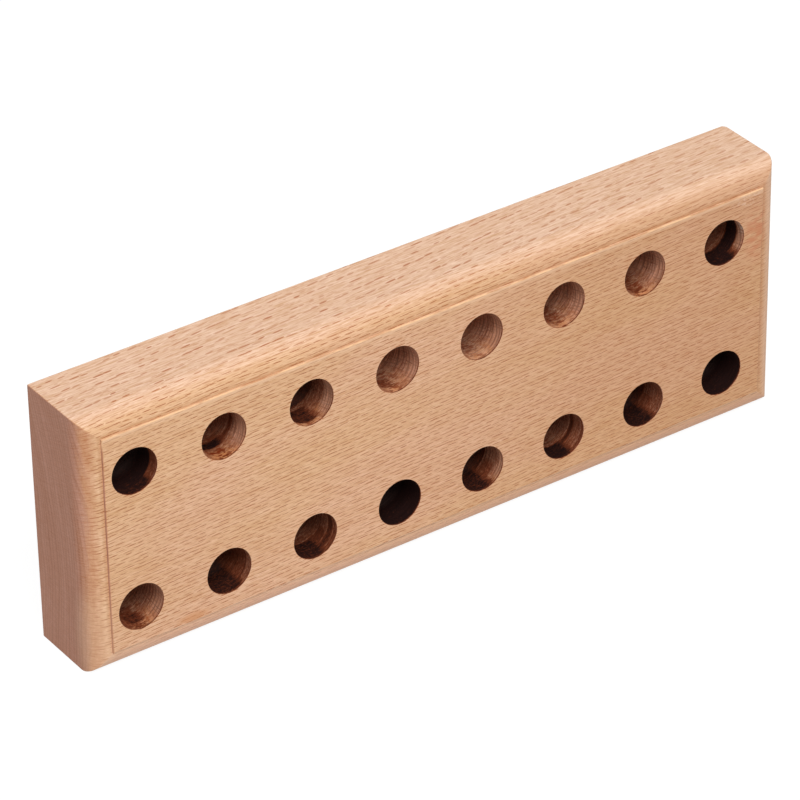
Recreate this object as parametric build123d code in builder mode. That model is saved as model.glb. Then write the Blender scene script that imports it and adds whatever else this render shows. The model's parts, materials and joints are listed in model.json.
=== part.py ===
"""A pliers holder: one block of beech with two rows of sockets drilled in its face.

The block stands on its long edge, as it is seen in the photograph. The
sockets open towards -Y, the length runs along X, and the origin is the
middle of the face it stands on. All sizes are in millimetres.
"""

import os

from build123d import *

os.makedirs("parts", exist_ok=True)

# Thickness of the board, and the wood left under each socket
thickness = 30.0
socket_floor = 8.0

# The sockets, which take the handles of the pliers
columns = 8
rows = 2
socket_diameter = 16.0
column_pitch = 32.0
row_pitch = 49.3

# The moulding cut round the drilled face: a quarter round below a small step
round_over_radius = 7.0
moulding_step = 0.7

# Flat wood between the step of the moulding and the nearest socket's rim
left_land = 3.0
right_land = 8.0
lower_land = 5.5
upper_land = 7.2

# The sanded-off sharpness of the outer edges
edge_ease = 0.4

# The raised panel holds the grid of sockets with a land on each side
panel_length = left_land + (columns - 1) * column_pitch + socket_diameter + right_land
panel_height = lower_land + (rows - 1) * row_pitch + socket_diameter + upper_land

# The round-over adds its own radius on every side of the panel
length = panel_length + 2 * round_over_radius
height = panel_height + 2 * round_over_radius
socket_depth = thickness - socket_floor

# The grid sits off centre by half the difference between opposite lands
grid_x = (left_land - right_land) / 2
grid_z = height / 2 + (lower_land - upper_land) / 2

# Upright planes, all seen from the drilled side: local x is X, local y is Z
back_plane = Plane.XZ.offset(-thickness / 2)
low_plane = Plane.XZ.offset(thickness / 2 - moulding_step)
panel_plane = Plane.XZ.offset(thickness / 2)

with BuildPart() as block:
    # The blank ends at the low ground of the moulding, behind the panel
    with BuildSketch(back_plane):
        with Locations((0, height / 2)):
            Rectangle(length, height)
    extrude(amount=thickness - moulding_step)

    # The quarter round runs round the front and meets itself in mitres
    front_rim = block.faces().sort_by(Axis.Y)[0].edges()
    fillet(front_rim, radius=round_over_radius)

    # The four corners are eased by keeping what a prism with cut corners holds
    with BuildSketch(back_plane) as outline:
        with Locations((0, height / 2)):
            Rectangle(length, height)
        chamfer(outline.vertices(), length=edge_ease)
    extrude(amount=thickness, mode=Mode.INTERSECT)

    # The back rim is eased the same way
    back_rim = block.faces().sort_by(Axis.Y)[-1].edges()
    chamfer(back_rim, length=edge_ease)

    # The panel stands proud by the step
    with BuildSketch(low_plane):
        with Locations((0, height / 2)):
            Rectangle(panel_length, panel_height)
    extrude(amount=moulding_step)

    # Blind, flat-bottomed sockets
    with BuildSketch(panel_plane):
        with Locations((grid_x, grid_z)):
            with GridLocations(column_pitch, row_pitch, columns, rows):
                Circle(socket_diameter / 2)
    extrude(amount=-socket_depth, mode=Mode.SUBTRACT)

block.part.label = "block"
export_step(block.part, "parts/block.step")

box = block.part.bounding_box()
print(f"block {box.size.X:.2f} x {box.size.Y:.2f} x {box.size.Z:.2f} mm")
print(f"sockets {columns * rows}, {socket_depth:.1f} mm deep, volume {block.part.volume / 1000:.1f} cm3")
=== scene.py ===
# %% [markdown]
# # A pliers holder in beech
#
# The real object is one board of beech. Sixteen blind sockets are bored in its broad
# face, and a router has run a small step and a quarter round along all four edges of
# that face. There is nothing else: no screw, no lining, no lid.
#
# So the lesson has two halves. The first builds the board as one closed mesh with a
# clean run of faces round every socket. The second builds the wood, as a solid block
# of figure that each face cuts through, so that the flecks on the top, the front and
# the ends belong to the same tree.

import json
import math

import bmesh
import bpy
from mathutils import Matrix, Vector, noise


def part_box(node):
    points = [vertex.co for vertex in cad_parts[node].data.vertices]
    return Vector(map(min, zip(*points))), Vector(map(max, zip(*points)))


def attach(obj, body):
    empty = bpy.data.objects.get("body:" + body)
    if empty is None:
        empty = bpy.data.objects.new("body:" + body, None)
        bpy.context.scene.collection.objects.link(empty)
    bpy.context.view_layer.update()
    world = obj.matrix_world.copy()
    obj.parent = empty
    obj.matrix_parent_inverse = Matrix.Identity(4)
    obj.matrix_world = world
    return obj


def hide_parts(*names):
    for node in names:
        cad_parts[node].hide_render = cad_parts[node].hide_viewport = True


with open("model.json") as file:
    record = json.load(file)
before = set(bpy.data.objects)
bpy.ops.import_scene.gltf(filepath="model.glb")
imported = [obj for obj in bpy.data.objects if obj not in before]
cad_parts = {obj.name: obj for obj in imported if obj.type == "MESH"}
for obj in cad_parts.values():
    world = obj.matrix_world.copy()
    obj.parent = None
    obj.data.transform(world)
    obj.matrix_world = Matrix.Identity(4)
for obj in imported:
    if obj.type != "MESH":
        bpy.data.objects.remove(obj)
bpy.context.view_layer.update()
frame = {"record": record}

# %% [markdown]
# ## The sizes
#
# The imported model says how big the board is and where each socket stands, so nothing
# is measured again here. The first socket is a bore in the record and carries its own
# radius and depth. The other fifteen are boxes in it, and a box's middle is a
# socket's middle. Only the small sizes of the moulding are written down, because they
# are a matter of looks once the outline is right.
#
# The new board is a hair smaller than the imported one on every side, so that rounding
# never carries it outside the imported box.

# %% Read the sizes
MM = 0.001
HAIR = 0.002 * MM
low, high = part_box("block")
LENGTH = high[0] - low[0] - 2 * HAIR
HEIGHT = high[2] - low[2] - 2 * HAIR
FACE = low[1] + HAIR
BACK = high[1] - HAIR
MIDDLE = Vector(((low[0] + high[0]) / 2, 0, (low[2] + high[2]) / 2))

record = frame["record"]
bore = next(m for m in record["mounts"] if m["kind"] == "bore")
SOCKET_RADIUS = bore["dims"]["r_mm"] * MM
SOCKET_DEPTH = bore["dims"]["length_mm"] * MM
sockets = {bore["name"]: (bore["pos_m"][0], bore["pos_m"][2])}
for opening in record["physics"]["openings"]:
    near, far = opening["box_m"]
    sockets[opening["name"]] = ((near[0] + far[0]) / 2, (near[2] + far[2]) / 2)
print(len(sockets), "sockets", SOCKET_RADIUS / MM, "mm in radius", SOCKET_DEPTH / MM, "mm deep")
print("board", LENGTH / MM, "x", (BACK - FACE) / MM, "x", HEIGHT / MM, "mm")

# %% [markdown]
# ## A loop that is pulled along a profile
#
# Both the moulding and the sockets are turned shapes: a closed loop of edges is pulled
# along a profile, growing or shrinking as it goes. The moulding's loop is a rectangle
# that grows outwards, and a socket's loop is a circle that goes inwards. One helper
# does both. It extrudes the loop, scales the new points about the loop's middle and
# slides them back, and repeats that for each stop of the profile.

# %% Pull a loop
def pull_loop(bm, edges, middle, sizes, stops):
    """Extrudes a loop through stops of (growth, y). sizes are its half sizes at growth 0."""
    rings = []
    for (grown, y), (next_grown, next_y) in zip(stops, stops[1:]):
        made = bmesh.ops.extrude_edge_only(bm, edges=edges)["geom"]
        verts = [g for g in made if isinstance(g, bmesh.types.BMVert)]
        new = set(verts)
        edges = [g for g in made if isinstance(g, bmesh.types.BMEdge) and new.issuperset(g.verts)]
        across = (sizes[0] + next_grown) / (sizes[0] + grown)
        upward = (sizes[1] + next_grown) / (sizes[1] + grown)
        about = Matrix.Translation(-middle)
        bmesh.ops.scale(bm, vec=(across, 1, upward), space=about, verts=verts)
        bmesh.ops.translate(bm, vec=(0, next_y - y, 0), verts=verts)
        rings.append(verts)
    return edges, rings


def arc(growth, y, radius, first, last, count):
    """Stops on an arc round (growth, y). An angle of 0 points at the front, 90 outwards."""
    stops = []
    for k in range(count + 1):
        a = math.radians(first + (last - first) * k / count)
        stops.append((growth + radius * math.sin(a), y - radius * math.cos(a)))
    return stops


# %% [markdown]
# ## The moulding and the sides
#
# The outline of the raised panel starts as one square of edges. From there the loop
# turns over the softened edge of the step, goes out along a narrow ledge, then round
# the quarter circle and straight back to the rear face. The corners of a rectangle stay
# mitred while it grows, which is what a router bit leaves on a board with square
# corners. The arrises are broken, as fine sandpaper breaks them. A few extra rings near
# the back are there for the worn edge further down.

# %% Run the moulding
STEP = 0.7 * MM
EASED_STEP = 0.42 * MM
EASE_STOPS = 5
FILLET = 0.10 * MM
LEDGE = 0.25 * MM
ROUND_OVER = 7.0 * MM
ROUND_STOPS = 18
ARRIS = 0.4 * MM
ARRIS_STOPS = 4
WORN_CORNER = 2.0 * MM
WORN_STOPS = (1.0, 0.8, 0.62, 0.46, 0.32)
foot = FACE + STEP

bm = bmesh.new()
panel = (LENGTH / 2 - ROUND_OVER - LEDGE, HEIGHT / 2 - ROUND_OVER - LEDGE)
square = bmesh.ops.create_grid(bm, x_segments=1, y_segments=1, size=1)["verts"]
bmesh.ops.delete(bm, geom=list(bm.faces), context="FACES_ONLY")
bmesh.ops.rotate(bm, verts=square, matrix=Matrix.Rotation(math.radians(90), 3, "X"))
bmesh.ops.scale(bm, vec=(panel[0] - EASED_STEP, 1, panel[1] - EASED_STEP), verts=square)
bmesh.ops.translate(bm, vec=(MIDDLE.x, FACE, MIDDLE.z), verts=square)
outline = list(bm.edges)

profile = arc(-EASED_STEP, FACE + EASED_STEP, EASED_STEP, 0, 90, EASE_STOPS)
profile += [(0, foot - FILLET), (0.3 * FILLET, foot - 0.3 * FILLET), (FILLET, foot)]
profile += arc(LEDGE, foot + ROUND_OVER, ROUND_OVER, 1, 90, ROUND_STOPS)
profile += [(LEDGE + ROUND_OVER, BACK - share * WORN_CORNER) for share in WORN_STOPS]
profile += arc(LEDGE + ROUND_OVER - ARRIS, BACK - ARRIS, ARRIS, 90, 180, ARRIS_STOPS)
back_rim, moulding = pull_loop(bm, outline, MIDDLE, panel, profile)
bmesh.ops.edgeloop_fill(bm, edges=back_rim)
print("moulding:", len(moulding), "rings")

# %% [markdown]
# Sandpaper has also eased the four corners, where the moulding of one side meets the
# next. The edges to bevel are found by their place: each joins two corner points of
# neighbouring rings, behind the start of the quarter round.

# %% Break the corners
SAME = 1e-6
CORNER_EASE = 0.30 * MM
NEAR = 10 * MM


def past_panel(v):
    """How far a point lies past the panel's outline, sideways and upwards."""
    return abs(v.co.x - MIDDLE.x) - panel[0], abs(v.co.z - MIDDLE.z) - panel[1]


def on_corner(v):
    side, up = past_panel(v)
    return abs(side - up) < SAME


def joins_rings(edge):
    a, b = (v.co for v in edge.verts)
    return abs(a.x - b.x) < NEAR and abs(a.z - b.z) < NEAR and min(a.y, b.y) > foot + 0.5 * MM


corners = [e for e in bm.edges if all(on_corner(v) for v in e.verts) and joins_rings(e)]
bmesh.ops.bevel(
    bm, geom=corners, offset=CORNER_EASE, offset_type="OFFSET", segments=2, profile=0.5,
    affect="EDGES", clamp_overlap=True, material=-1,
)
print("corner edges eased:", len(corners))

# %% [markdown]
# The long faces of the moulding meet at these mitres. If their normals were blended
# there, the blend would run along the whole length of each face and bend its light. So
# every edge that runs along a mitre is kept sharp.

# %% Keep the mitres sharp
def along_mitre(edge):
    """An edge on a mitre that goes from one ring of the moulding to the next."""
    past = [past_panel(v) for v in edge.verts]
    on_mitre = all(abs(side - up) < 2 * CORNER_EASE and side > -2 * EASED_STEP for side, up in past)
    goes_back = abs(edge.verts[0].co.y - edge.verts[1].co.y) > SAME
    goes_out = abs(max(past[0]) - max(past[1])) > 10 * SAME
    return on_mitre and (goes_back or goes_out)


mitres = [e for e in bm.edges if along_mitre(e)]
for edge in mitres:
    edge.smooth = False
print("edges kept sharp on the mitres:", len(mitres))

# %% [markdown]
# One upright edge of the real board is worn: the rear one at the right end, whose top
# is the blunt corner in the photograph. The rings of the profile near the back are
# drawn in along a quarter circle there. The arris has already taken a little, so only
# the rest is taken off.

# %% Wear the rear right edge
def drawn_in(y, radius):
    """How far a rounded edge of this radius has turned in at y."""
    past = min(max(y - (BACK - radius), 0), radius)
    return radius - math.sqrt(radius ** 2 - past ** 2)


right_end = MIDDLE.x + LENGTH / 2 - 1 * MM
worn_points = [v for v in bm.verts if v.co.x >= right_end and v.co.y >= BACK - WORN_CORNER]
for v in worn_points:
    v.co.x -= drawn_in(v.co.y, WORN_CORNER) - drawn_in(v.co.y, ARRIS)
print("points drawn in at the worn edge:", len(worn_points))

# %% [markdown]
# ## One socket
#
# A socket is a loop too. It shrinks by a hair as it turns over the rim, goes straight
# down the wall, and then shrinks to the middle of the floor, where the point of the
# bit leaves a small pit. The wall has a ring every half millimetre. That is finer than
# the shape needs, but the burnt bands and the torn wood are drawn on these rings.
#
# All sixteen are alike, so one is modelled at the origin and copied to every place.

# %% Model a socket
ROUND_STEPS = 112
EASED_RIM = 0.10 * MM
RIM_DEEP = 0.22 * MM
RING = 0.5 * MM
SEEN_DEPTH = 16 * MM
FLOOR_FILLET = 0.4 * MM
FLOOR_RINGS = (6.8, 5.9, 5.0, 4.1, 3.2, 2.3)
PIT_RADIUS = 1.3 * MM
PIT_DEPTH = 1.1 * MM
PIT_STOPS = ((1.0, 0), (0.65, 0.5), (0.12, 1.0))

stops = [(EASED_RIM, 0), (0.35 * EASED_RIM, 0.25 * RIM_DEEP), (0, RIM_DEEP)]
depth = RING
while depth < SOCKET_DEPTH - FLOOR_FILLET - RING / 2:
    stops.append((0, depth))
    depth += RING if depth < SEEN_DEPTH else 2 * RING
stops += arc(-FLOOR_FILLET, SOCKET_DEPTH - FLOOR_FILLET, FLOOR_FILLET, 90, 180, 3)
for radius in FLOOR_RINGS:
    stops.append((radius * MM - SOCKET_RADIUS, SOCKET_DEPTH))
for share, deep in PIT_STOPS:
    stops.append((share * PIT_RADIUS - SOCKET_RADIUS, SOCKET_DEPTH + deep * PIT_DEPTH))

one = bmesh.new()
bmesh.ops.create_circle(
    one, cap_ends=False, segments=ROUND_STEPS, radius=SOCKET_RADIUS + EASED_RIM,
    matrix=Matrix.Rotation(math.radians(90), 4, "X"),
)
pit_bottom = pull_loop(one, list(one.edges), Vector(), (SOCKET_RADIUS, SOCKET_RADIUS), stops)[0]
bmesh.ops.edgeloop_fill(one, edges=pit_bottom)
for face in one.faces:
    face.material_index = 1
socket_mesh = bpy.data.meshes.new("one_socket")
one.to_mesh(socket_mesh)
print("a socket:", len(one.verts), "points,", len(one.faces), "faces")
one.free()

# %% Copy it to every place
for x, z in sockets.values():
    copy = socket_mesh.copy()
    copy.transform(Matrix.Translation((x, FACE, z)))
    bm.from_mesh(copy)
    bpy.data.meshes.remove(copy)
bpy.data.meshes.remove(socket_mesh)
print("points with the sockets in place:", len(bm.verts))

# %% [markdown]
# ## The drilled face
#
# What is still missing lies between the outline and the rims, and all of their edges
# are open on one side. One fill covers it. A boolean would also drill the holes, but
# it leaves ragged corners at the rims, just where the light catches the wood.

# %% Fill the face
border = [e for e in bm.edges if len(e.link_faces) == 1]
filled = bmesh.ops.triangle_fill(
    bm, use_beauty=True, use_dissolve=False, edges=border, normal=(0, -1, 0),
)["geom"]
print("drilled face:", len(filled), "new edges and faces, from", len(border), "open edges")

# %% [markdown]
# ## What the drill did to the walls
#
# A drill that turns too long in one place burns the wood, and where it cuts across
# long fibres it tears them. Each socket of the real board shows its own story: a black
# band at one depth, a scorched lower wall, or hardly anything. A short list of marks
# tells it. A mark has a first and a last depth in millimetres, the angle of its middle
# round the bore, its half width in degrees and how black it is. An angle of 0 is the
# wall towards +X, -90 is the lower wall.
#
# Torn wood soaks up colour, more in some sockets than in others, and that colour is
# also painted shade on the lower wall and further in. Three rims are chipped. A chip
# has the angle of its middle, its half width, how much of the rim went and how pale the
# wood is in it.

# %% List the burns
ALL = 360
burns = {
    "socket_upper_1": [(4.0, 22, 0, ALL, 0.95), (0.3, 5, -108, 70, 0.85), (0.2, 4, -20, 70, 0.45)],
    "socket_upper_2": [(7.0, 10.6, -94, 38, 0.88), (7.6, 9.8, 0, ALL, 0.50), (10, 22, 0, ALL, 0.30)],
    "socket_upper_3": [(2.0, 10, -100, 38, 0.70), (5, 22, 0, ALL, 0.32), (11.5, 22, 0, ALL, 0.66)],
    "socket_upper_4": [(3.2, 8.2, -98, 20, 0.42)],
    "socket_upper_5": [(5.0, 22, -96, 30, 0.24)],
    "socket_upper_6": [(3.0, 7.0, -104, 18, 0.34), (5.5, 22, -96, 30, 0.28)],
    "socket_upper_7": [(2.5, 7.5, -102, 20, 0.34), (5.5, 22, -96, 30, 0.28)],
    "socket_upper_8": [(3.7, 9.2, 0, ALL, 0.90), (0.2, 6, -106, 60, 0.92), (9.2, 22, 0, ALL, 0.34)],
    "socket_lower_1": [(3.4, 8.4, -92, 26, 0.66), (0.3, 22, -112, 40, 0.40), (6, 22, 0, ALL, 0.22)],
    "socket_lower_2": [
        (0.3, 22, -106, 60, 0.78), (2.6, 22, 0, ALL, 0.46), (0.3, 3, 0, ALL, 0.34),
        (2.6, 3.5, 0, 100, 0.66),
    ],
    "socket_lower_3": [
        (0.3, 9.4, -104, 50, 0.80), (0.3, 2.2, 0, ALL, 0.46), (2.2, 4.8, 0, ALL, 0.66),
        (4.8, 22, 0, ALL, 0.34), (4.8, 9, -60, 42, 0.56),
    ],
    "socket_lower_4": [(0.2, 22, 0, ALL, 0.97)],
    "socket_lower_5": [
        (0.3, 22, -112, 56, 0.80), (2, 9.6, 0, ALL, 0.24), (4, 9.6, -60, 44, 0.46),
        (9.6, 22, 0, ALL, 0.62),
    ],
    "socket_lower_6": [
        (0.2, 8, -112, 54, 0.90), (0.2, 1.7, -20, 80, 0.50), (1.7, 5.4, 0, ALL, 0.36),
        (5.4, 7.4, 0, ALL, 0.66), (7.4, 22, 0, ALL, 0.30),
    ],
    "socket_lower_7": [
        (0.2, 22, -110, 62, 0.86), (0.2, 22, 0, ALL, 0.36), (4.5, 9.5, -50, 40, 0.46),
        (9.5, 22, 0, ALL, 0.62),
    ],
    "socket_lower_8": [(0.2, 22, 0, ALL, 0.96)],
}

# %% List the stains, partly painted shade, and the chips
PLAIN_STAIN_AND_SHADE = 0.7
stain_and_shade_strength = {
    "socket_upper_2": 1.0, "socket_upper_4": 0.75, "socket_upper_5": 0.6, "socket_upper_6": 0.8,
    "socket_upper_7": 0.9, "socket_lower_1": 0.8,
}
chipped = {
    "socket_upper_8": (28, 24, 0.7, 1.0),
    "socket_lower_7": (0, 30, 0.3, 0.0),
    "socket_lower_8": (-28, 34, 0.7, 0.0),
}
print(len(burns), "burnt sockets,", len(chipped), "chipped rims")

# %% [markdown]
# A mark must not end at a ruled line. Each one is a window over depth and angle with
# soft ends, and where marks overlap the strongest one counts. Besides the listed burns,
# every rim is a little scorched on its lower right, and every wall has a faint band of
# painted shade further in, laid on like a light burn.

# %% Helpers for the marks
SOFT_TURN, SOFT_DEPTH = 30, 0.9
SCORCHED_RIM = 0.60
DEEP_SHADE = 0.17
LOWER_WALL, UPPER_WALL, LOWER_RIGHT = -92, 90, -55


def window(value, first, last, soft):
    """1 between first and last, falling to 0 over soft at either end."""
    rise = min(max((value - first) / soft + 0.5, 0), 1)
    fall = min(max((last - value) / soft + 0.5, 0), 1)
    return min(rise, fall)


def around(angle, middle):
    """How far two angles are apart, in degrees."""
    return abs((angle - middle + 180) % 360 - 180)


def char_and_shade_at(name, angle, depth):
    """How burnt the wall is, from 0 to 1, with a faint band of painted shade further in."""
    most = 0
    for first, last, middle, half, black in burns[name]:
        side = 1 if half == ALL else window(around(angle, middle), -half, half, SOFT_TURN)
        most = max(most, black * side * window(depth, first, last, SOFT_DEPTH))
    rim = window(around(angle, LOWER_RIGHT), -62, 62, 40) * window(depth, 0.08, 0.42, 0.25)
    # Painted shade: a faint dark band further in on every wall.
    deep_shade = window(depth, 5.0, 9.5, 3)
    return max(most, SCORCHED_RIM * rim, DEEP_SHADE * deep_shade)


def stain_and_shade_at(name, angle, depth):
    """Torn long grain takes up colour on the lower and upper wall, most near the mouth; the colour
    is also painted shade.
    """
    lower = window(around(angle, LOWER_WALL), -34, 34, 44)
    upper = window(around(angle, UPPER_WALL), -30, 30, 40)
    return max(lower, upper) * window(depth, -2, 15, 6) * stain_and_shade_strength.get(name, PLAIN_STAIN_AND_SHADE)


def torn_at(name, angle, depth):
    """How far the rim is chipped here, and how pale the wood is in the chip."""
    if name not in chipped:
        return 0, 0
    middle, half, much, pale = chipped[name]
    here = much * window(around(angle, middle), -half, half, 20) * window(depth, 0.0, 1.6, 1.2)
    return here, here * pale


# %% [markdown]
# The marks are written on the points of the mesh as attributes, which a material can
# read by name. All layers are made before any of them is fetched, because a new layer
# moves the others in memory.

# %% Find each socket's points
MARKS = ("char_and_shade", "stain_and_shade", "torn", "step_light_and_shade")
for key in MARKS:
    bm.verts.layers.float.new(key)
layers = {key: bm.verts.layers.float[key] for key in MARKS}

reach = SOCKET_RADIUS + 2 * EASED_RIM
bored_points = [v for v in bm.verts if any(face.material_index == 1 for face in v.link_faces)]
socket_points = {}
for name, (x, z) in sockets.items():
    socket_points[name] = [v for v in bored_points if max(abs(v.co.x - x), abs(v.co.z - z)) < reach]
print("points in each socket:", {len(points) for points in socket_points.values()})

# %% Mark the walls
for name, points in socket_points.items():
    x, z = sockets[name]
    for v in points:
        angle = math.degrees(math.atan2(v.co.z - z, v.co.x - x))
        depth = (v.co.y - FACE) / MM
        v[layers["char_and_shade"]] = char_and_shade_at(name, angle, depth)
        v[layers["stain_and_shade"]] = stain_and_shade_at(name, angle, depth)
        v[layers["torn"]] = torn_at(name, angle, depth)[1]
print("walls marked")

# %% [markdown]
# The walls are not a perfect cylinder either. The lips of the bit leave faint rings,
# and the torn fibres of the lower wall stand up to a tenth of a millimetre. Three rims
# are chipped on one side. These are moves of the points themselves, so the shape is
# there in any light.

# %% Roughen the walls
TORN = 0.14 * MM
RINGED = 0.015 * MM
CHIP = 0.8 * MM
CHIP_DEEP = 1.4
WALL_LUMPS, CHIP_LUMPS = 6, 11
RING_TURN = 2.6
for index, (name, points) in enumerate(socket_points.items()):
    x, z = sockets[name]
    seed = Vector((37.0 * index, 11.0, 5.0))
    for v in points:
        out = Vector((v.co.x - x, 0, v.co.z - z))
        if out.length < 0.9 * SOCKET_RADIUS:
            continue
        angle = math.atan2(out.z, out.x)
        depth = (v.co.y - FACE) / MM
        around_x, around_z = math.cos(angle), math.sin(angle)
        on_wall = Vector((WALL_LUMPS * around_x, WALL_LUMPS * around_z, 1.4 * depth)) + seed
        move = TORN * abs(around_z) ** 3 * noise.noise(on_wall) * min(depth, 1)
        move += RINGED * math.sin(RING_TURN * depth + index) * min(depth, 1)
        on_rim = Vector((CHIP_LUMPS * around_x, CHIP_LUMPS * around_z, 3.0)) + seed
        bite = max(noise.noise(on_rim), 0) * max(1 - depth / CHIP_DEEP, 0)
        move += CHIP * torn_at(name, math.degrees(angle), depth)[0] * bite
        v.co += out.normalized() * move
print("walls roughened")

# %% [markdown]
# The last mark is on the step, and it is painted light and shade. Its edge gets a
# painted highlight, and the corner at its foot gets painted shade. One number says
# both: above 0 the edge is painted pale, below 0 the foot is painted dark. The first
# ring of the moulding stays at 0, because the big triangles of the drilled face hang
# on it.

# %% Mark the step
inside = set(bored_points)
for v in bm.verts:
    if v in inside:
        continue
    deep = (v.co.y - FACE) / MM
    # Above 0: painted highlight on the step's edge. Below 0: painted shade at its foot.
    v[layers["step_light_and_shade"]] = window(deep, 0.05, 0.46, 0.10) - window(deep, 0.60, 0.76, 0.08)
print("step marked")

# %% [markdown]
# The pieces were filled and extruded in different directions, so the normals are turned
# outward together. The flat faces stay flat shaded, the rest is smooth, and any edge
# sharper than 40 degrees stays crisp.

# %% Make the mesh
FLAT = 0.9999
SHARP = math.radians(40)
bmesh.ops.recalc_face_normals(bm, faces=bm.faces)
for face in bm.faces:
    squareness = max(abs(c) for c in face.normal)
    face.smooth = face.material_index == 1 or squareness < FLAT
for edge in bm.edges:
    if len(edge.link_faces) == 2 and edge.calc_face_angle(0) > SHARP:
        edge.smooth = False
open_edges = [e for e in bm.edges if len(e.link_faces) != 2]
mesh = bpy.data.meshes.new("holder_board")
bm.to_mesh(mesh)
bm.free()
board = bpy.data.objects.new("holder_board", mesh)
bpy.context.scene.collection.objects.link(board)
triangles = sum(len(p.vertices) - 2 for p in mesh.polygons)
print("board:", triangles, "triangles,", len(open_edges), "open edges")

# %% [markdown]
# ## Small tools for the wood
#
# A procedural material is a chain of many small steps. A few short helpers keep the
# chain readable: one places any node and fills its inputs by name, one does sums, one
# multiplies and one does sums on vectors. An input may be a number or the output of
# another node.

# %% Helpers for nodes
def place(tree, kind, settings=None, **inputs):
    """Adds a node. settings are its properties, and inputs its sockets, with _ for a space."""
    node = tree.nodes.new(kind)
    for name, value in (settings or {}).items():
        setattr(node, name, value)
    for name, value in inputs.items():
        feed(tree, node.inputs[name.replace("_", " ")], value)
    return node


def feed(tree, socket, value):
    if isinstance(value, bpy.types.NodeSocket):
        tree.links.new(value, socket)
    elif value is not None:
        socket.default_value = value


def sums(tree, operation, *values, clamp=False):
    node = tree.nodes.new("ShaderNodeMath")
    node.operation, node.use_clamp = operation, clamp
    for socket, value in zip(node.inputs, values):
        feed(tree, socket, value)
    return node.outputs[0]


def product(tree, value, *others):
    for other in others:
        value = sums(tree, "MULTIPLY", value, other)
    return value


def vectors(tree, operation, a, b=None):
    node = tree.nodes.new("ShaderNodeVectorMath")
    node.operation = operation
    feed(tree, node.inputs[0], a)
    feed(tree, node.inputs[1], b)
    return node.outputs["Value" if operation == "LENGTH" else "Vector"]


def apart(tree, vector):
    """The X, Y and Z of a vector."""
    return place(tree, "ShaderNodeSeparateXYZ", Vector=vector).outputs


def together(tree, x, y, z=None):
    return place(tree, "ShaderNodeCombineXYZ", X=x, Y=y, Z=z).outputs[0]


# %% [markdown]
# Three more helpers do what comes back in every finish: a soft step from 0 to 1, noise
# with a size in millimetres, and one colour laid over another.

# %% Helpers for masks and colours
def fade(tree, value, start, end):
    """0 at start and 1 at end, eased at both. start may be the larger."""
    node = tree.nodes.new("ShaderNodeMapRange")
    node.interpolation_type = "SMOOTHSTEP"
    feed(tree, node.inputs["Value"], value)
    feed(tree, node.inputs["From Min"], start)
    feed(tree, node.inputs["From Max"], end)
    return node.outputs["Result"]


def cloud(tree, vector, sizes, detail=2.0, roughness=0.5):
    """Noise whose lumps are so many millimetres long in each direction."""
    at = vectors(tree, "DIVIDE", vector, sizes)
    settings = {"Scale": 1.0, "Detail": detail, "Roughness": roughness}
    return place(tree, "ShaderNodeTexNoise", Vector=at, **settings).outputs


def tint(tree, factor, a, b, blend="MIX"):
    node = tree.nodes.new("ShaderNodeMix")
    node.data_type, node.blend_type = "RGBA", blend
    feed(tree, node.inputs["Factor"], factor)
    feed(tree, node.inputs[6], a)
    feed(tree, node.inputs[7], b)
    return node.outputs[2]


def linear(red, green, blue):
    """A colour read off a swatch, 0 to 255, as the numbers a node wants."""
    out = []
    for c in (red / 255, green / 255, blue / 255):
        out.append(c / 12.92 if c <= 0.04045 else ((c + 0.055) / 1.055) ** 2.4)
    return (*out, 1.0)


# %% [markdown]
# ## Beech, as a solid
#
# A trunk is a stack of cones of yearly growth round its pith, crossed by rays: thin
# ribbons that run from the pith to the bark. Beech has large rays. Seen end on, on the
# face of a flat-sawn board, they are fine dark dashes. On the edge of the board they
# are cut at a slant and look broader, and on the end they are lines from front to
# back. All three come from one pattern if it is made in the tree's own directions:
# along the trunk, out from the pith, and round it.
#
# The pith of this board lies behind it and a little below its middle, because the
# rings on the left end stand upright low down and lean back near the top. All sizes
# here are in millimetres.

# %% The tree's directions
PITH_BEHIND = 171.0
PITH_HEIGHT = 35.0
FACE_RADIUS = PITH_BEHIND + 15
TILT = -0.030


def wander(tree, point, sizes, reach):
    """Bends space a little, so that no line in the wood is ruled."""
    soft = vectors(tree, "SUBTRACT", cloud(tree, point, sizes)["Color"], (0.5, 0.5, 0.5))
    return vectors(tree, "ADD", point, vectors(tree, "MULTIPLY", soft, reach))


def tree_directions(tree, point):
    """A point becomes (along the trunk, out from the pith, round the pith)."""
    point = wander(tree, point, (130, 60, 50), (0, 4, 3.5))
    point = wander(tree, point, (36, 14, 10), (0, 0.5, 0.8))
    parts = apart(tree, point)
    up = sums(tree, "MULTIPLY_ADD", parts["X"], TILT, parts["Z"])
    up = sums(tree, "SUBTRACT", up, PITH_HEIGHT)
    inward = sums(tree, "SUBTRACT", PITH_BEHIND, parts["Y"])
    squares = sums(tree, "ADD", product(tree, up, up), product(tree, inward, inward))
    turn = product(tree, sums(tree, "ARCTAN2", up, inward), FACE_RADIUS)
    return parts["X"], sums(tree, "SQRT", squares), turn


# %% [markdown]
# ## Flecks
#
# Rays stand in the trunk like bricks in a wall: each one begins beside the middle of
# its neighbours. A cell pattern on a skewed grid does that. Every cell owns a point,
# and a thin ellipse is drawn round it. The length and the depth of colour of each
# ellipse come from the cell's own random numbers.

# %% Draw flecks
LOOSENESS = 0.54
SKEW = 0.5
SHORTEST, LONGER = 0.6, 0.8


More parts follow.
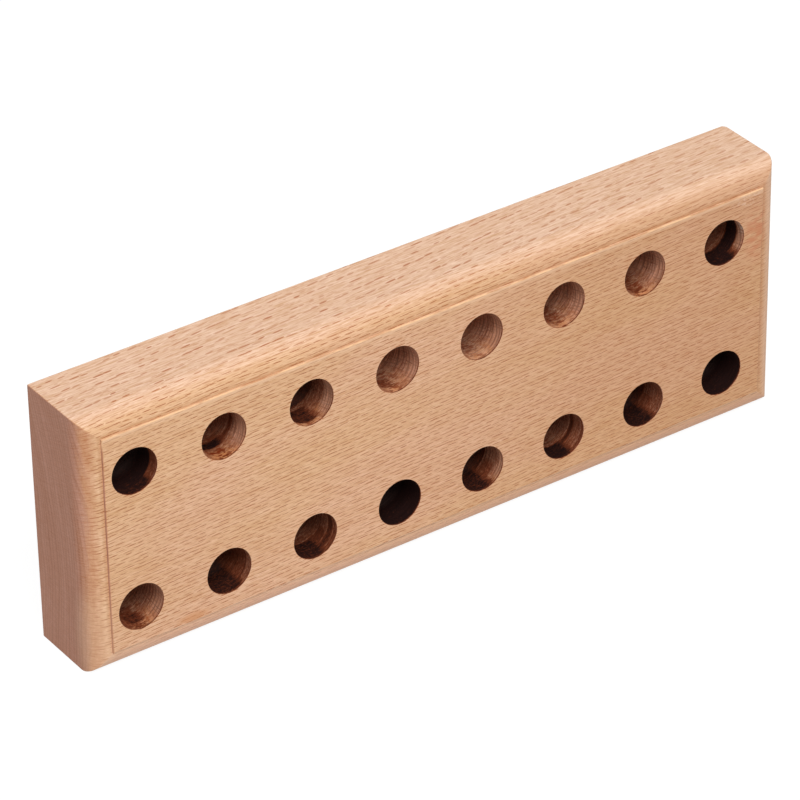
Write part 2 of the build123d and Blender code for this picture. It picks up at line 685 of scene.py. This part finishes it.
def draw_flecks(tree, along, turn, spacing, half, spread):
    """Ellipses of the given half sizes. spread says how much weaker some are than others."""
    row = sums(tree, "DIVIDE", turn, spacing[1])
    column = sums(tree, "MULTIPLY_ADD", row, SKEW, sums(tree, "DIVIDE", along, spacing[0]))
    at = together(tree, column, row)
    cell = place(
        tree, "ShaderNodeTexVoronoi", {"voronoi_dimensions": "2D", "feature": "F1"},
        Vector=at, Scale=1.0, Randomness=LOOSENESS,
    ).outputs
    away = apart(tree, vectors(tree, "SUBTRACT", at, cell["Position"]))
    chance = place(tree, "ShaderNodeSeparateColor", Color=cell["Color"]).outputs
    length = sums(tree, "MULTIPLY_ADD", chance["Red"], LONGER * half[0], SHORTEST * half[0])
    level = sums(tree, "MULTIPLY_ADD", away["Y"], -SKEW, away["X"])
    across = sums(tree, "DIVIDE", product(tree, level, spacing[0]), length)
    upward = product(tree, away["Y"], spacing[1] / half[1])
    squares = sums(tree, "ADD", product(tree, across, across), product(tree, upward, upward))
    weaker = product(tree, sums(tree, "SUBTRACT", 1.0, chance["Green"]), spread)
    strength = sums(tree, "SUBTRACT", 1.0, weaker)
    return product(tree, fade(tree, sums(tree, "SQRT", squares), 1.15, 0.80), strength)


# %% [markdown]
# The wood is a node group, because the planed outside and the bored walls share it. It
# is told where a point is and which way the surface faces. From those it knows how
# much of the cut is end grain, and how much is the edge of the board, where the flecks
# are paler. Between the two, on the rounded ends, the change comes in streaks.

# %% Open the wood group
wood = bpy.data.node_groups.new("beech_figure", "ShaderNodeTree")
for name, kind, side in (
    ("Place", "NodeSocketVector", "INPUT"), ("Facing", "NodeSocketVector", "INPUT"),
    ("Flecks", "NodeSocketFloat", "INPUT"), ("Grid", "NodeSocketFloat", "INPUT"),
    ("End From", "NodeSocketFloat", "INPUT"), ("End To", "NodeSocketFloat", "INPUT"),
    ("Colour", "NodeSocketColor", "OUTPUT"), ("Height", "NodeSocketFloat", "OUTPUT"),
    ("Roughness", "NodeSocketFloat", "OUTPUT"),
):
    wood.interface.new_socket(name=name, in_out=side, socket_type=kind)
given = wood.nodes.new("NodeGroupInput").outputs
result = wood.nodes.new("NodeGroupOutput").inputs

point = vectors(wood, "MULTIPLY", given["Place"], (1000, 1000, 1000))
along, outward, turn = tree_directions(wood, point)
trunk = together(wood, along, outward, turn)

facing = apart(wood, given["Facing"])
to_end = sums(wood, "ABSOLUTE", facing["X"])
bands = cloud(wood, trunk, (60, 3.6, 50), 4.0, 0.7)["Fac"]
halfway = product(wood, to_end, sums(wood, "SUBTRACT", 1.0, to_end))
unrest = product(wood, halfway, 3.0)
streaky = sums(wood, "MULTIPLY_ADD", unrest, sums(wood, "SUBTRACT", bands, 0.5), to_end)
end_grain = fade(wood, streaky, given["End From"], given["End To"])
edge_grain = fade(wood, sums(wood, "ABSOLUTE", facing["Z"]), 0.45, 0.97)
print("beech_figure, place and direction:", len(wood.nodes), "nodes")

# %% Lay the flecks
drift = cloud(wood, trunk, (60, 22, 40), 1.0)["Fac"]
drift = sums(wood, "MULTIPLY_ADD", drift, 14.0, along)
spread = sums(wood, "MULTIPLY_ADD", edge_grain, 0.45, 0.42)
large = draw_flecks(wood, drift, turn, (4.2, 1.30), (1.85, 0.12), spread)
small = draw_flecks(wood, drift, turn, (3.0, 0.62), (1.05, 0.09), spread)
flecks = sums(wood, "MAXIMUM", large, product(wood, small, 0.38))
print("beech_figure, with flecks:", len(wood.nodes), "nodes")

# %% [markdown]
# ## Growth rings, rays and fibres
#
# Between the flecks the wood is streaked along its fibres. On end grain the fibres
# are seen as dots too small to draw, and what is left is a grid: a dark line for each
# year, and fine lines for the rays. The grid is strong in the sockets, where the cut
# is rough, and faint on the planed ends.

# %% Rings and rays
YEAR = 1.5
RAY_ROW = 0.95
years = cloud(wood, trunk, (90, 5, 40), 1.0)["Fac"]
years = sums(wood, "MULTIPLY_ADD", years, 2.6, sums(wood, "DIVIDE", outward, YEAR))
year = sums(wood, "FRACT", years)
ring = product(wood, fade(wood, year, 0.45, 0.86), fade(wood, year, 1.0, 0.92))

rows = cloud(wood, trunk, (30, 8, 2.2), 1.0)["Fac"]
rows = sums(wood, "MULTIPLY_ADD", rows, 1.6, sums(wood, "DIVIDE", turn, RAY_ROW))
row = sums(wood, "FRACT", rows)
gaps = fade(wood, cloud(wood, trunk, (9, 7, 1.4), 1.0)["Fac"], 0.34, 0.58)
ray = product(wood, fade(wood, row, 0.60, 0.84), fade(wood, row, 1.0, 0.86), gaps)
grid = sums(wood, "MAXIMUM", product(wood, ring, 0.9), ray)
grid = sums(wood, "MULTIPLY", product(wood, grid, end_grain), given["Grid"], clamp=True)

# %% Fibres
fibre = cloud(wood, trunk, (7, 0.55, 0.40), 3.0, 0.65)["Fac"]
streak = cloud(wood, trunk, (70, 3.0, 2.4), 2.0)["Fac"]
weft = cloud(wood, trunk, (3, 3.5, 0.42), 1.0)["Fac"]
print("beech_figure, with rings and fibres:", len(wood.nodes), "nodes")

# %% [markdown]
# ## The colours of the wood
#
# The board isn't one brown. It grows darker from left to right, pinker and yellower
# patches lie side by side, its long edges are paler, partly their own edge grain and
# partly painted light on the top, and its ends are darker and redder.
# Fibres, rings and bands then shade that colour. They take more from the blue than
# from the red, so the dark streaks turn warm and not grey.

# %% Colours of the wood
patch = fade(wood, cloud(wood, point, (75, 30, 26), 2.0)["Fac"], 0.36, 0.64)
rightward = fade(wood, apart(wood, point)["X"], -60.0, 120.0)
pinker = tint(wood, rightward, linear(224, 178, 143), linear(209, 160, 123))
yellower = tint(wood, rightward, linear(222, 177, 136), linear(207, 159, 117))
colour = tint(wood, patch, pinker, yellower)
# The long edges' paler colour is partly edge grain and partly painted light on the top.
colour = tint(wood, edge_grain, colour, linear(230, 189, 158))
warm = sums(wood, "MULTIPLY_ADD", rightward, -0.6, 0.8)
warm = product(wood, fade(wood, to_end, 0.15, 0.6), warm)
colour = tint(wood, warm, colour, linear(198, 142, 105))
colour = tint(wood, end_grain, colour, linear(182, 129, 105))

# %% Shade it
SHARES = (0.62, 1.0, 1.5)
shade = sums(wood, "MULTIPLY_ADD", edge_grain, 0.50, 0.90)
shade = product(wood, sums(wood, "SUBTRACT", fibre, 0.5), shade)
shade = sums(wood, "MULTIPLY_ADD", sums(wood, "SUBTRACT", streak, 0.5), 0.12, shade)
ring_depth = sums(wood, "MULTIPLY_ADD", end_grain, -0.09, -0.03)
shade = sums(wood, "MULTIPLY_ADD", ring, ring_depth, shade)
banding = sums(wood, "SUBTRACT", sums(wood, "MULTIPLY_ADD", weft, 0.5, bands), 0.75)
banded = sums(wood, "MULTIPLY_ADD", halfway, 3.4, product(wood, end_grain, 0.75))
shade = sums(wood, "ADD", shade, product(wood, banding, banded))
by_channel = [sums(wood, "MULTIPLY_ADD", shade, share, 1.0) for share in SHARES]
colour = tint(wood, 1.0, colour, together(wood, *by_channel), "MULTIPLY")

# %% Lay the marks over it
marks = product(wood, flecks, sums(wood, "MULTIPLY_ADD", end_grain, -0.7, 1.0))
fainter = product(wood, edge_grain, sums(wood, "MULTIPLY_ADD", rightward, 0.32, 0.04))
marks = product(wood, marks, sums(wood, "SUBTRACT", 1.0, fainter))
marks = sums(wood, "MULTIPLY", marks, given["Flecks"], clamp=True)
softer = sums(wood, "MAXIMUM", edge_grain, warm)
mark_colour = tint(wood, softer, linear(156, 80, 26), linear(178, 104, 60))
colour = tint(wood, marks, colour, mark_colour)
colour = tint(wood, grid, colour, linear(104, 62, 48))
feed(wood, result["Colour"], colour)

# %% [markdown]
# A fleck is dense and takes a polish, so it is a little lower and shinier than the
# fibres round it. A ring line on the bored wall is a shallow furrow.

# %% Relief and gloss
relief = sums(wood, "MULTIPLY_ADD", fibre, 0.6, product(wood, marks, -0.5))
relief = sums(wood, "MULTIPLY_ADD", grid, -0.6, relief)
feed(wood, result["Height"], relief)
gloss = sums(wood, "MULTIPLY_ADD", marks, -0.10, 0.54)
feed(wood, result["Roughness"], sums(wood, "MULTIPLY_ADD", fibre, 0.16, gloss))
print("beech_figure:", len(wood.nodes), "nodes")

# %% [markdown]
# ## Planed beech and bored beech
#
# Two finishes share the wood. The planed and sanded outside is the wood itself with a
# little relief, and painted light and shade on the step and the moulding. The bored
# walls add what the drill did: torn grain soaks up an orange brown, which also carries
# painted shade, and heat takes the wood from brown to black. How much of each there is
# comes from the marks that were written on the points, broken up by noise, because
# neither a tear nor a burn has a ruled edge.

# %% Helpers for the finishes
def new_material(name):
    """A material with nothing in it yet but its output."""
    material = bpy.data.materials.new(name)
    material.use_nodes = True
    tree = material.node_tree
    tree.nodes.clear()
    output = tree.nodes.new("ShaderNodeOutputMaterial")
    return material, tree, output.inputs["Surface"]


def lay_wood(tree, flecks, grid, end_from, end_to):
    """Places the wood group. Gives the point in millimetres and what the group puts out."""
    coordinates = tree.nodes.new("ShaderNodeTexCoord").outputs
    figure = tree.nodes.new("ShaderNodeGroup")
    figure.node_tree = wood
    feed(tree, figure.inputs["Place"], coordinates["Object"])
    feed(tree, figure.inputs["Facing"], coordinates["Normal"])
    values = {"Flecks": flecks, "Grid": grid, "End From": end_from, "End To": end_to}
    for name, value in values.items():
        figure.inputs[name].default_value = value
    point = vectors(tree, "MULTIPLY", coordinates["Object"], (1000, 1000, 1000))
    return point, figure.outputs


def read_mark(tree, name):
    return place(tree, "ShaderNodeAttribute", {"attribute_name": name}).outputs["Fac"]


def soft_spot(tree, point, middle, radii):
    """1 in the middle of an egg-shaped spot, fading to 0 at its edge."""
    away = vectors(tree, "DIVIDE", vectors(tree, "SUBTRACT", point, middle), radii)
    return fade(tree, vectors(tree, "LENGTH", away), 1.0, 0.3)


def finish_surface(tree, output, colour, roughness, height, specular, strength, distance):
    """The shader itself, with its relief."""
    relief = place(tree, "ShaderNodeBump", Height=height, Strength=strength, Distance=distance)
    surface = place(
        tree, "ShaderNodeBsdfPrincipled", Base_Color=colour, Roughness=roughness,
        Specular_IOR_Level=specular, Normal=relief.outputs[0],
    )
    tree.links.new(surface.outputs[0], output)


# %% [markdown]
# The step shows as a thin line. Along the top its edge gets a painted highlight in an
# uneven strip, with a painted highlight on the face just below it, and painted shade
# darkens its foot. The lower edge of the board is left plain, so these masks fade out
# towards it.

# %% Planed beech: the step
planed, tree, output = new_material("planed_beech")
point, figure = lay_wood(tree, 1.0, 0.14, 0.66, 0.98)
at = apart(tree, point)
step_light_and_shade = read_mark(tree, "step_light_and_shade")

near_top = fade(tree, at["Z"], 80.0, 84.0)
# Painted highlight along the top step's edge.
top_edge_highlight = product(tree, fade(tree, step_light_and_shade, 0.0, 1.0), near_top)
uneven = fade(tree, cloud(tree, point, (11, 9, 9), 3.0, 0.6)["Fac"], 0.38, 0.56)
# Painted shade in the corner at the step's foot, fading out towards the lower edge.
foot_shade = product(tree, fade(tree, step_light_and_shade, 0.0, -1.0), fade(tree, at["Z"], 10.0, 14.0), 0.22)
# Painted highlight on the face just below the top step.
highlight_below_step = product(tree, fade(tree, at["Z"], 82.8, 84.2), fade(tree, at["Y"], -14.80, -14.96))

# Painted highlight: a paler face strip, then a darker edge strip with uneven pale patches.
colour = tint(tree, product(tree, highlight_below_step, 0.45), figure["Colour"], linear(238, 200, 166))
colour = tint(tree, product(tree, top_edge_highlight, 0.75), colour, linear(196, 146, 104))
colour = tint(tree, product(tree, top_edge_highlight, uneven), colour, linear(238, 196, 152))
# Painted shade: the step's foot is painted darker.
colour = tint(tree, foot_shade, colour, linear(176, 112, 66))

# %% [markdown]
# The rounded edges get painted light: strips paler than the faces beside them, which
# lift the shade there, each by its own amount: the underside, the riser of the lower
# step, the right end and the top towards the right. Each strip is found by its place,
# in millimetres past the panel's outline, so the strips meet on the mitres as the
# moulding does.

# %% Planed beech: the moulding
past_end = sums(tree, "SUBTRACT", sums(tree, "ABSOLUTE", at["X"]), panel[0] / MM)
past_foot = sums(tree, "SUBTRACT", (MIDDLE.z - panel[1]) / MM, at["Z"])
past_top = sums(tree, "SUBTRACT", at["Z"], (MIDDLE.z + panel[1]) / MM)
turned = fade(tree, at["Y"], -7.6, -9.0)
foot_side = fade(tree, sums(tree, "SUBTRACT", past_foot, past_end), -0.1, 0.1)
past_both = sums(tree, "MAXIMUM", past_foot, past_top)
end_side = fade(tree, sums(tree, "SUBTRACT", past_end, past_both), -0.1, 0.1)

# Painted light: paler strips on the moulding that lift its shade.
painted_light_under = product(tree, foot_side, turned, fade(tree, past_foot, 0.15, 2.2))
painted_light_riser = product(tree, fade(tree, past_foot, -0.42, -0.30), fade(tree, at["Y"], -14.1, -14.5))
painted_light_right_end = product(tree, end_side, fade(tree, at["Y"], -10.0, -12.6), fade(tree, past_end, 0.35, 3.5))
painted_light_right_end = product(tree, painted_light_right_end, fade(tree, at["X"], 0.0, 10.0))
painted_light_crest = product(tree, fade(tree, past_top, 0.3, 2.0), fade(tree, at["X"], 0.0, 110.0), turned)

# Painted light on the moulding strips.
colour = tint(tree, product(tree, painted_light_under, 0.50), colour, linear(232, 188, 162))
colour = tint(tree, product(tree, painted_light_riser, foot_side, 0.60), colour, linear(244, 210, 180))
colour = tint(tree, product(tree, painted_light_right_end, 0.48), colour, linear(240, 200, 168))
colour = tint(tree, product(tree, painted_light_crest, 0.12), colour, linear(250, 214, 186))

# %% [markdown]
# Four spots are painted on. A pale heel low on the left moulding is painted light.
# The other three are the board's own: a rust brown patch under the lower left socket,
# a red flush at the right end and a few pale mottles above it.

# %% Planed beech: the spots
# Painted light: a pale spot low on the left moulding.
painted_light_heel = soft_spot(tree, point, (-130, -12, 12), (9, 9, 26))
rust = soft_spot(tree, point, (-96, -15, 9), (8, 30, 2.4))
flush = soft_spot(tree, point, (122.5, -15, 69), (6, 30, 13))
lumps = fade(tree, cloud(tree, point, (5, 5, 2), 2.0)["Fac"], 0.36, 0.58)
pale = soft_spot(tree, point, (119, -15, 83), (8, 30, 4))
mottles = fade(tree, cloud(tree, point, (1.6, 3, 1.0), 2.0)["Fac"], 0.50, 0.60)

colour = tint(tree, product(tree, painted_light_heel, 0.28), colour, linear(240, 202, 168))
colour = tint(tree, product(tree, rust, 0.5), colour, linear(204, 136, 84))
colour = tint(tree, product(tree, flush, lumps, 0.7), colour, linear(196, 124, 86))
colour = tint(tree, product(tree, pale, mottles, 0.4), colour, linear(232, 198, 174))
finish_surface(
    tree, output, colour, figure["Roughness"], figure["Height"],
    specular=0.35, strength=0.35, distance=0.03 * MM,
)
print("planed_beech:", len(tree.nodes), "nodes")

# %% [markdown]
# The bored wall is the same wood cut across, so its rings and rays show as a grid, and
# deep inside it is painted paler, as painted light. Over that come three layers. The
# stain lies where the grain is torn, orange near the mouth and brown further in, with
# rust and dark specks; it is partly the torn grain's own colour and partly painted
# shade on the lower wall and further in. The burn goes over the stain, first brown and
# then black, and deep inside both are painted lighter, as painted light. Last, the lips
# of the bit have left fine rings, which brighten and darken whatever lies below them.

# %% Bored beech: wall and stain
bored, tree, output = new_material("bored_beech")
point, figure = lay_wood(tree, 0.75, 0.85, 0.30, 0.75)
char_and_shade, stain_and_shade, torn = (read_mark(tree, name) for name in ("char_and_shade", "stain_and_shade", "torn"))
coarse = cloud(tree, point, (2.6, 1.3, 1.1), 3.0, 0.6)["Fac"]
thread = cloud(tree, point, (1.6, 0.30, 0.9), 3.0, 0.65)["Fac"]
into_hole = apart(tree, point)["Y"]
deeper = fade(tree, into_hole, -14.5, -8.0)
deepest = fade(tree, into_hole, -5.5, 1.0)

# Painted light: the wall is painted paler deep inside.
painted_light_deep = sums(tree, "MULTIPLY_ADD", deepest, 0.28, 0.20)
wall = tint(tree, painted_light_deep, figure["Colour"], linear(226, 170, 134))
# The torn grain's colour, orange near the mouth and browner further in, is also painted shade in the
# socket.
soaked_and_shaded = tint(tree, deeper, linear(204, 126, 68), linear(132, 70, 36))
rusty = product(tree, stain_and_shade, fade(tree, coarse, 0.46, 0.58))
specks = product(tree, stain_and_shade, fade(tree, thread, 0.60, 0.68), 0.75)
colour = tint(tree, product(tree, stain_and_shade, 0.85), wall, soaked_and_shaded)
colour = tint(tree, rusty, colour, linear(124, 50, 20))
colour = tint(tree, specks, colour, linear(84, 36, 18))

# %% Bored beech: the burn
crumbs = cloud(tree, point, (0.9, 0.55, 0.55), 3.0, 0.7)["Fac"]
crumbly = product(tree, stain_and_shade, 1.6)
loose = sums(tree, "MULTIPLY_ADD", sums(tree, "SUBTRACT", crumbs, 0.5), crumbly,
             sums(tree, "SUBTRACT", thread, 0.5))
loose = product(tree, fade(tree, char_and_shade, 0.0, 0.12), loose)
burnt = sums(tree, "MULTIPLY_ADD", loose, 0.9, char_and_shade, clamp=True)
# Deep inside, the burn colours are painted lighter, as painted light.
brown = tint(tree, deepest, linear(118, 58, 34), linear(140, 82, 58))
black = tint(tree, deepest, linear(32, 14, 12), linear(84, 64, 60))
colour = tint(tree, fade(tree, burnt, 0.0, 0.50), colour, brown)
colour = tint(tree, fade(tree, burnt, 0.32, 0.92), colour, black)

# %% Bored beech: bit rings, chips and surface
lips = cloud(tree, point, (9, 0.34, 9), 2.0, 0.6)["Fac"]
lips = sums(tree, "MULTIPLY_ADD", sums(tree, "SUBTRACT", lips, 0.5), 1.5, 1.0)
colour = tint(tree, 1.0, colour, together(tree, lips, lips, lips), "MULTIPLY")
tears = fade(tree, cloud(tree, point, (0.8, 2.0, 0.5), 2.0, 0.6)["Fac"], 0.48, 0.57)
colour = tint(tree, product(tree, torn, tears), colour, linear(226, 200, 178))
finish_surface(
    tree, output, colour,
    roughness=sums(tree, "MULTIPLY_ADD", burnt, 0.1, figure["Roughness"]),
    height=sums(tree, "MULTIPLY_ADD", coarse, stain_and_shade, figure["Height"]),
    specular=0.12, strength=0.5, distance=0.15 * MM,
)
print("bored_beech:", len(tree.nodes), "nodes")

# %% [markdown]
# ## The board takes its place
#
# The new mesh stands for the imported model's one node. It rides on the part's only
# body, and it is painted with the planed and the bored beech.

# %% Hand the board over
mesh.materials.append(planed)
mesh.materials.append(bored)
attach(board, "root")
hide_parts("block")
print("materials on the board:", [material.name for material in mesh.materials])

# %% [markdown]
# ## Floor and room
#
# The board stands on a plain white floor. The camera sees the floor as white, by a
# glow that only it and the shiny surfaces can see, and a thin plain paint under that
# glow keeps the board's shadow. All other light meets an ordinary pale floor. The room
# works the same way: white to look at, and a softer light for the board.

# %% Floor
def seen_directly(tree):
    """1 for a ray from the camera, or one that comes here by a shine or through glass."""
    rays = tree.nodes.new("ShaderNodeLightPath").outputs
    shine = sums(tree, "MAXIMUM", rays["Is Glossy Ray"], rays["Is Transmission Ray"])
    return sums(tree, "MAXIMUM", rays["Is Camera Ray"], shine)


FLOOR_REACH = 4
ground, tree, output = new_material("pale_floor")
paper = place(tree, "ShaderNodeBsdfDiffuse", Color=(0.65, 0.65, 0.65, 1))
thin = place(tree, "ShaderNodeBsdfDiffuse", Color=(0.14, 0.14, 0.14, 1))
glow = place(tree, "ShaderNodeEmission", Color=(1, 1, 1, 1), Strength=0.92)
white = tree.nodes.new("ShaderNodeAddShader")
tree.links.new(thin.outputs[0], white.inputs[0])
tree.links.new(glow.outputs[0], white.inputs[1])
choice = tree.nodes.new("ShaderNodeMixShader")
tree.links.new(seen_directly(tree), choice.inputs[0])
tree.links.new(paper.outputs[0], choice.inputs[1])
tree.links.new(white.outputs[0], choice.inputs[2])
tree.links.new(choice.outputs[0], output)

flat = bmesh.new()
bmesh.ops.create_grid(flat, x_segments=1, y_segments=1, size=FLOOR_REACH)
sheet = bpy.data.meshes.new("floor")
flat.to_mesh(sheet)
flat.free()
sheet.materials.append(ground)
floor_object = bpy.data.objects.new("floor", sheet)
bpy.context.scene.collection.objects.link(floor_object)
print("floor:", 2 * FLOOR_REACH, "m wide")

# %% Room light
ROOM = 0.42
world = bpy.data.worlds.new("room")
bpy.context.scene.world = world
world.use_nodes = True
tree = world.node_tree
tree.nodes.clear()
strength = sums(tree, "MULTIPLY_ADD", seen_directly(tree), 1.0 - ROOM, ROOM)
room = place(tree, "ShaderNodeBackground", Color=(1, 1, 1, 1), Strength=strength)
output = tree.nodes.new("ShaderNodeOutputWorld")
tree.links.new(room.outputs[0], output.inputs["Surface"])
print("room light:", ROOM)

# %% [markdown]
# ## Lamp and camera
#
# One broad lamp hangs high in front of the board, a little to the left. It lights the
# top most and the front a little less. The left end gets it at a slant and is left
# mostly to the light of the room, as in the photograph.
#
# The camera was worked out from the sixteen rims and the outline of the board. It
# stands to the left of the board and above it, with a long lens.

# %% Lamp
LAMP_PLACE = (-0.41, -1.10, 1.57)
LAMP_WATTS = 28.4


def aim(obj, target):
    ray = (Vector(target) - obj.location).normalized()
    obj.rotation_euler = ray.to_track_quat("-Z", "Y").to_euler()


lamp_data = bpy.data.lights.new("window", "AREA")
lamp_data.shape = "RECTANGLE"
lamp_data.size, lamp_data.size_y = 1.2, 0.9
lamp_data.energy = LAMP_WATTS
lamp = bpy.data.objects.new("window", lamp_data)
lamp.location = LAMP_PLACE
bpy.context.scene.collection.objects.link(lamp)
aim(lamp, (0, 0, 0.05))
print("lamp:", LAMP_WATTS, "watts at", LAMP_PLACE)

# %% Camera
EYE = (-0.73068, -1.04955, 0.86145)
AZIMUTH, ELEVATION, ROLL = 34.568, 32.588, -0.975
LENS, SENSOR = 216.88, 36.0
camera_data = bpy.data.cameras.new("camera")
camera_data.sensor_width = SENSOR
camera_data.lens = LENS
camera_data.clip_start, camera_data.clip_end = 0.01, 20
camera = bpy.data.objects.new("camera", camera_data)
pose = (
    Matrix.Rotation(math.radians(-AZIMUTH), 4, "Z")
    @ Matrix.Rotation(math.radians(90 - ELEVATION), 4, "X")
    @ Matrix.Rotation(math.radians(ROLL), 4, "Z")
)
camera.matrix_world = Matrix.Translation(EYE) @ pose
bpy.context.scene.collection.objects.link(camera)
bpy.context.scene.camera = camera
bpy.context.scene.view_settings.view_transform = "Standard"
print("camera:", LENS, "mm lens at", EYE)
